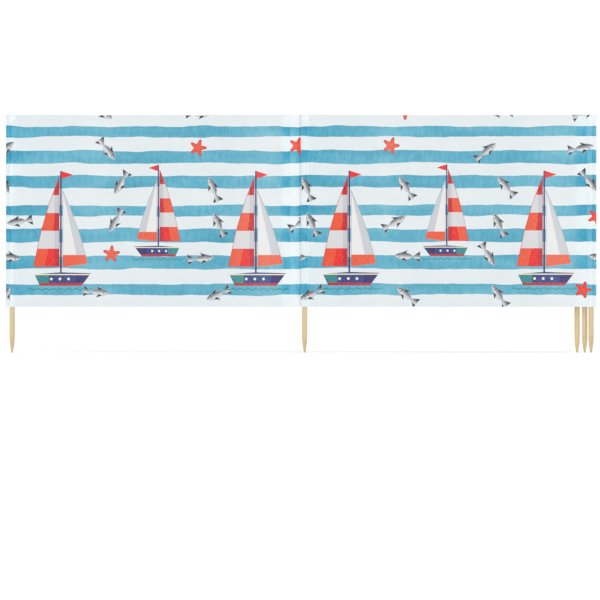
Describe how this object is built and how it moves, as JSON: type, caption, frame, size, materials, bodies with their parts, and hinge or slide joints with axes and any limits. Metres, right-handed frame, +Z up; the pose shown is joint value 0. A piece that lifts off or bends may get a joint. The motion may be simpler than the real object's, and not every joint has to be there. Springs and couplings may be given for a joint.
{
  "type": "beach windbreak",
  "caption": "Cloth wind screen in bays between pointed wooden poles in sewn sleeves; two bays stand open and two lie folded behind them.",
  "frame": {"origin": "centre of the flat tip of pole 2, the pole between the two open bays", "axes": "+X along the cloth to the folded bays, -Y out of the printed side, +Z up the poles"},
  "size_m": [2.4605, 0.079, 0.9903],
  "materials": {
    "pole_wood": "smooth sanded pale pine",
    "striped_cloth": "printed plain-weave cotton and polyester, blue and white stripes",
    "sleeve_cloth": "the same printed cloth sewn into a tube",
    "hem_cloth": "white cloth folded double and stitched"
  },
  "bodies": {
    "bay_2": {"pole_2": "pole_wood", "sleeve_2": "sleeve_cloth", "sleeve_2_end": "sleeve_cloth", "bay_2_cloth": "striped_cloth", "bay_2_bottom_hem": "hem_cloth", "bay_2_top_hem": "hem_cloth", "pole_3": "pole_wood", "sleeve_3": "sleeve_cloth", "sleeve_3_end": "sleeve_cloth", "bay_1_bend": "striped_cloth", "bay_3_turn": "striped_cloth"},
    "bay_1": {"bay_1_cloth": "striped_cloth", "bay_1_bottom_hem": "hem_cloth", "bay_1_top_hem": "hem_cloth", "pole_1": "pole_wood", "sleeve_1": "sleeve_cloth", "sleeve_1_end": "sleeve_cloth"},
    "bay_3_front": {"bay_3_front_cloth": "striped_cloth", "bay_3_front_bottom_hem": "hem_cloth", "bay_3_front_top_hem": "hem_cloth", "bay_3_fold": "striped_cloth"},
    "bay_3_back": {"bay_3_back_cloth": "striped_cloth", "bay_3_back_bottom_hem": "hem_cloth", "bay_3_back_top_hem": "hem_cloth", "pole_4": "pole_wood", "sleeve_4": "sleeve_cloth", "sleeve_4_end": "sleeve_cloth", "bay_4_turn": "striped_cloth"},
    "bay_4_front": {"bay_4_front_cloth": "striped_cloth", "bay_4_front_bottom_hem": "hem_cloth", "bay_4_front_top_hem": "hem_cloth", "bay_4_fold": "striped_cloth"},
    "bay_4_back": {"bay_4_back_cloth": "striped_cloth", "bay_4_back_bottom_hem": "hem_cloth", "bay_4_back_top_hem": "hem_cloth", "pole_5": "pole_wood", "sleeve_5": "sleeve_cloth", "sleeve_5_end": "sleeve_cloth"}
  },
  "joints": [
    {"name": "bay_1_swing", "type": "hinge", "parent": "bay_2", "child": "bay_1", "pos_m": [-0.019, 0, 0.59], "axis": [0, 0, 1], "range_deg": [-110, 110], "deforming": ["bay_1_bend"]},
    {"name": "bay_3_opening", "type": "hinge", "parent": "bay_2", "child": "bay_3_front", "pos_m": [1.2091, 0.00685, 0.59], "axis": [0, 0, -1], "range_deg": [0, 178], "deforming": ["bay_3_turn"]},
    {"name": "bay_3_unfolding", "type": "hinge", "parent": "bay_3_front", "child": "bay_3_back", "pos_m": [0.5874, 0.02055, 0.59], "axis": [0, 0, 1], "range_deg": [0, 178], "deforming": ["bay_3_fold"]},
    {"name": "bay_4_opening", "type": "hinge", "parent": "bay_3_back", "child": "bay_4_front", "pos_m": [1.1841, 0.03425, 0.59], "axis": [0, 0, -1], "range_deg": [0, 178], "deforming": ["bay_4_turn"]},
    {"name": "bay_4_unfolding", "type": "hinge", "parent": "bay_4_front", "child": "bay_4_back", "pos_m": [0.5599, 0.04795, 0.59], "axis": [0, 0, 1], "range_deg": [0, 178], "deforming": ["bay_4_fold"]}
  ],
  "couplings": [
    {"joint": "bay_3_unfolding", "follows": "bay_3_opening", "ratio": 1},
    {"joint": "bay_4_opening", "follows": "bay_3_opening", "ratio": 1},
    {"joint": "bay_4_unfolding", "follows": "bay_3_opening", "ratio": 1}
  ]
}
